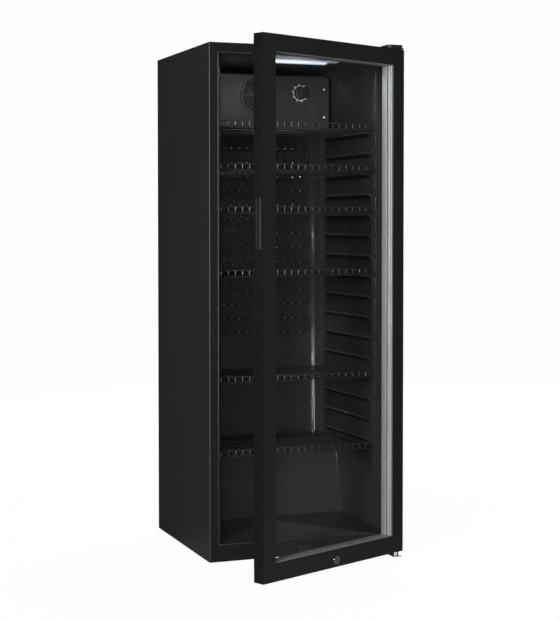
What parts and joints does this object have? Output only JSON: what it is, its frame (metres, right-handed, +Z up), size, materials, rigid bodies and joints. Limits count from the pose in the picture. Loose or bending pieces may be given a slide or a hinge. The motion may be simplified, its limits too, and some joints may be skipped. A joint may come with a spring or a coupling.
{
  "type": "glass-door wine cooler",
  "caption": "Tall free-standing wine cooler: insulated black cabinet with wire shelves, rear condenser and a lockable framed glass door standing ajar.",
  "frame": {"origin": "centre of the footprint of the whole cooler with its door ajar, on the floor under the feet", "axes": "+Z up, +Y towards the cabinet's back, +X towards the hinge side, so the door faces -Y"},
  "size_m": [0.6016, 0.8352, 1.5438],
  "materials": {
    "cabinet_paint": "satin",
    "door_paint": "satin",
    "galvanised_steel": "satin",
    "foam": "matte",
    "liner_plastic": "satin",
    "grey_plastic": "satin",
    "black_plastic": "satin",
    "white_plastic": "satin",
    "lamp_diffuser": "satin",
    "coated_wire": "gloss",
    "condenser_paint": "satin",
    "compressor_paint": "gloss",
    "copper": "satin",
    "zinc_steel": "satin",
    "bright_aluminium": "satin",
    "lock_chrome": "polished",
    "door_glass": "gloss",
    "gasket_rubber": "matte"
  },
  "bodies": {
    "cabinet": {"outer_shell": "cabinet_paint", "base_pan": "galvanised_steel", "foam_insulation": "foam", "inner_liner": "liner_plastic", "rear_panel": "galvanised_steel", "fan_cover": "grey_plastic", "fan_grille": "grey_plastic", "fan_motor": "black_plastic", "cover_screw_1": "zinc_steel", "cover_screw_2": "zinc_steel", "cover_screw_3": "zinc_steel", "cover_screw_4": "zinc_steel", "thermostat_body": "white_plastic", "lamp_housing": "white_plastic", "lamp_lens": "lamp_diffuser", "evaporator_tube": "coated_wire", "evaporator_wires": "coated_wire", "compressor": "compressor_paint", "compressor_mount": "galvanised_steel", "start_relay": "black_plastic", "drip_tray": "white_plastic", "filter_drier": "copper", "machine_cover": "galvanised_steel", "power_inlet": "black_plastic", "condenser_tube": "condenser_paint", "condenser_wires": "condenser_paint", "hinge_bracket_top": "zinc_steel", "hinge_pin_top": "zinc_steel", "hinge_cover_top": "black_plastic", "hinge_bracket_bottom": "door_paint", "hinge_pin_bottom": "zinc_steel", "strike_plate": "cabinet_paint"},
    "door": {"door_stile_free": "door_paint", "door_stile_hinge": "door_paint", "door_rail_top": "door_paint", "door_rail_bottom": "door_paint", "glass_front": "door_glass", "glass_rear": "door_glass", "glass_spacer": "bright_aluminium", "glazing_bead": "bright_aluminium", "door_gasket": "gasket_rubber", "handle_cup": "black_plastic", "hinge_bush_top": "white_plastic", "hinge_bush_bottom": "white_plastic", "lock_body": "lock_chrome"},
    "lock": {"lock_cylinder": "lock_chrome", "lock_cam": "zinc_steel"},
    "fan": {"fan_rotor": "black_plastic"},
    "knob": {"thermostat_knob": "black_plastic"},
    "lamp_rocker": {"lamp_switch": "black_plastic"},
    "front_left_foot": {"foot_front_left": "black_plastic"},
    "front_right_foot": {"foot_front_right": "black_plastic"},
    "rear_left_foot": {"foot_rear_left": "black_plastic"},
    "rear_right_foot": {"foot_rear_right": "black_plastic"},
    "rack_1": {"shelf_1": "coated_wire"},
    "rack_2": {"shelf_2": "coated_wire"},
    "rack_3": {"shelf_3": "coated_wire"},
    "rack_4": {"shelf_4": "coated_wire"},
    "rack_5": {"shelf_5": "coated_wire"},
    "rack_6": {"shelf_6": "coated_wire"}
  },
  "joints": [
    {"name": "door_hinge", "type": "hinge", "parent": "cabinet", "child": "door", "pos_m": [0.2822, -0.159, 0.77], "axis": [0, 0, 1], "range_deg": [-24.5, 85.5]},
    {"name": "lock_turn", "type": "hinge", "parent": "door", "child": "lock", "pos_m": [0.02241, -0.2774, 0.039], "axis": [0.4147, -0.91, 0], "range_deg": [0, 90]},
    {"name": "fan_spin", "type": "hinge", "parent": "cabinet", "child": "fan", "pos_m": [-0.0108, 0.2675, 1.418], "axis": [0, 1, 0], "continuous": true},
    {"name": "thermostat_turn", "type": "hinge", "parent": "cabinet", "child": "knob", "pos_m": [0.1312, 0.2394, 1.429], "axis": [0, -1, 0], "range_deg": [-135, 135]},
    {"name": "lamp_switch_rock", "type": "hinge", "parent": "cabinet", "child": "lamp_rocker", "pos_m": [0.1072, -0.0635, 1.4922], "axis": [1, 0, 0], "range_deg": [-14, 0]},
    {"name": "front_left_foot_turn", "type": "hinge", "parent": "cabinet", "child": "front_left_foot", "pos_m": [-0.2258, -0.0225, 0.02], "axis": [0, 0, 1], "range_deg": [-720, 720]},
    {"name": "front_right_foot_turn", "type": "hinge", "parent": "cabinet", "child": "front_right_foot", "pos_m": [0.2192, -0.0225, 0.02], "axis": [0, 0, 1], "range_deg": [-720, 720]},
    {"name": "rear_left_foot_turn", "type": "hinge", "parent": "cabinet", "child": "rear_left_foot", "pos_m": [-0.2258, 0.3215, 0.02], "axis": [0, 0, 1], "range_deg": [-720, 720]},
    {"name": "rear_right_foot_turn", "type": "hinge", "parent": "cabinet", "child": "rear_right_foot", "pos_m": [0.2192, 0.3215, 0.02], "axis": [0, 0, 1], "range_deg": [-720, 720]},
    {"name": "shelf_1_slide", "type": "slide", "parent": "cabinet", "child": "rack_1", "axis": [0, -1, 0], "range_m": [0, 0.045]},
    {"name": "shelf_2_slide", "type": "slide", "parent": "cabinet", "child": "rack_2", "axis": [0, -1, 0], "range_m": [0, 0.045]},
    {"name": "shelf_3_slide", "type": "slide", "parent": "cabinet", "child": "rack_3", "axis": [0, -1, 0], "range_m": [0, 0.045]},
    {"name": "shelf_4_slide", "type": "slide", "parent": "cabinet", "child": "rack_4", "axis": [0, -1, 0], "range_m": [0, 0.045]},
    {"name": "shelf_5_slide", "type": "slide", "parent": "cabinet", "child": "rack_5", "axis": [0, -1, 0], "range_m": [0, 0.045]},
    {"name": "shelf_6_slide", "type": "slide", "parent": "cabinet", "child": "rack_6", "axis": [0, -1, 0], "range_m": [0, 0.045]}
  ]
}
